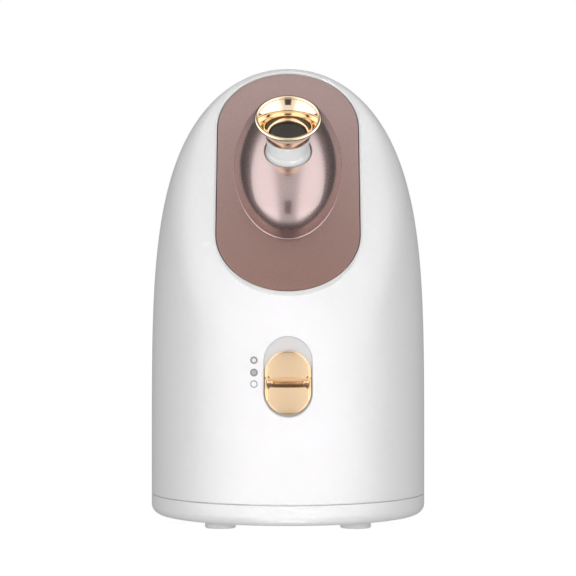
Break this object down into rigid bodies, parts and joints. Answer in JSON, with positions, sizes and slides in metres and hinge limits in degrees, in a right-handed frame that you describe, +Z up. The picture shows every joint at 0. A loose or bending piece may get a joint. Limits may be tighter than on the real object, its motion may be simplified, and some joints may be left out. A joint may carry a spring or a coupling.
{
  "type": "facial steamer",
  "caption": "Egg-domed facial steamer with a flat lacquered face, swivelling ball nozzle with a flared cup, sliding mode switch and lift-out rear tank.",
  "frame": {"origin": "middle of the footprint, on the surface it stands on", "axes": "+Z up, -Y is the front with the nozzle and switch, +X to the right seen from the front"},
  "size_m": [0.15, 0.18, 0.248],
  "materials": {
    "shell_white": "smooth white moulded ABS with a soft gloss",
    "champagne": "rose champagne pearl lacquer under a clear coat",
    "ball_white": "smooth white moulded plastic",
    "gold": "polished gold plating",
    "button_gold": "satin gold paint",
    "grey_insert": "fine matte texture",
    "black_plastic": "fine matte texture",
    "grey_plastic": "natural moulded plastic",
    "clear_plastic": "clear smoke moulded plastic",
    "rubber": "matte grey rubber",
    "silicone": "red silicone",
    "steel": "bright steel",
    "aluminium": "die-cast",
    "ceramic": "unglazed ceramic",
    "board_green": "solder mask",
    "component": "printed sleeve without any marking",
    "lead": "insulated wire"
  },
  "bodies": {
    "root": {"front_shell": "shell_white", "rear_shell": "shell_white", "base_tray": "shell_white", "front_panel": "champagne", "nozzle_dome": "champagne", "switch_well": "grey_insert", "ball_retainer": "black_plastic", "boiler_lid": "black_plastic", "fan_housing": "black_plastic", "inlet_socket": "black_plastic", "thermostat": "black_plastic", "slide_switch": "grey_plastic", "tank_cradle": "grey_plastic", "feed_tube": "grey_plastic", "steam_duct": "grey_plastic", "mist_chamber": "grey_plastic", "mist_duct": "grey_plastic", "chassis_plate": "grey_plastic", "foot_front_left": "rubber", "foot_front_right": "rubber", "foot_rear_left": "rubber", "foot_rear_right": "rubber", "boiler_gasket": "silicone", "disc_seal": "silicone", "base_screws": "steel", "chassis_screws": "steel", "inlet_pins": "steel", "ultrasonic_disc": "steel", "boiler_body": "aluminium", "ptc_heater": "ceramic", "thermal_fuse": "ceramic", "switch_board": "board_green", "power_board": "board_green", "transformer": "component", "capacitors": "component", "mains_leads": "lead", "heater_leads": "lead"},
    "swivel": {"ball_wiper": "black_plastic"},
    "nozzle": {"nozzle_ball": "ball_white", "nozzle_cup": "gold", "outlet_insert": "black_plastic"},
    "switch": {"switch_button": "button_gold", "switch_carriage": "black_plastic"},
    "tank": {"water_tank": "clear_plastic", "lid_hinge_pin": "steel", "valve_cap": "grey_plastic", "valve_seal": "silicone", "valve_spring": "steel"},
    "lid": {"tank_lid": "shell_white", "lid_gasket": "silicone"},
    "plunger": {"valve_plunger": "grey_plastic"},
    "fan": {"fan_rotor": "grey_plastic"}
  },
  "joints": [
    {"name": "nozzle_swivel", "type": "hinge", "parent": "root", "child": "swivel", "pos_m": [0, -0.0579, 0.1988], "axis": [0, -0.7071, 0.7071], "continuous": true},
    {"name": "nozzle_tilt", "type": "hinge", "parent": "swivel", "child": "nozzle", "pos_m": [0, -0.0579, 0.1988], "axis": [1, 0, 0], "range_deg": [-6, 6]},
    {"name": "mode_slide", "type": "slide", "parent": "root", "child": "switch", "axis": [0, 0, 1], "range_m": [0, 0.007]},
    {"name": "tank_lift", "type": "slide", "parent": "root", "child": "tank", "axis": [0, 0, 1], "range_m": [0, 0.2]},
    {"name": "tank_lid_hinge", "type": "hinge", "parent": "tank", "child": "lid", "pos_m": [0, 0.0716, 0.207], "axis": [-1, 0, 0], "range_deg": [0, 100]},
    {"name": "valve_plunge", "type": "slide", "parent": "tank", "child": "plunger", "axis": [0, 0, 1], "range_m": [0, 0.003], "stiffness_N_per_m": 100, "springref_m": -0.001, "deforming": ["valve_spring"]},
    {"name": "fan_spin", "type": "hinge", "parent": "root", "child": "fan", "pos_m": [-0.046, -0.001, 0.06], "axis": [0, 1, 0], "continuous": true}
  ]
}
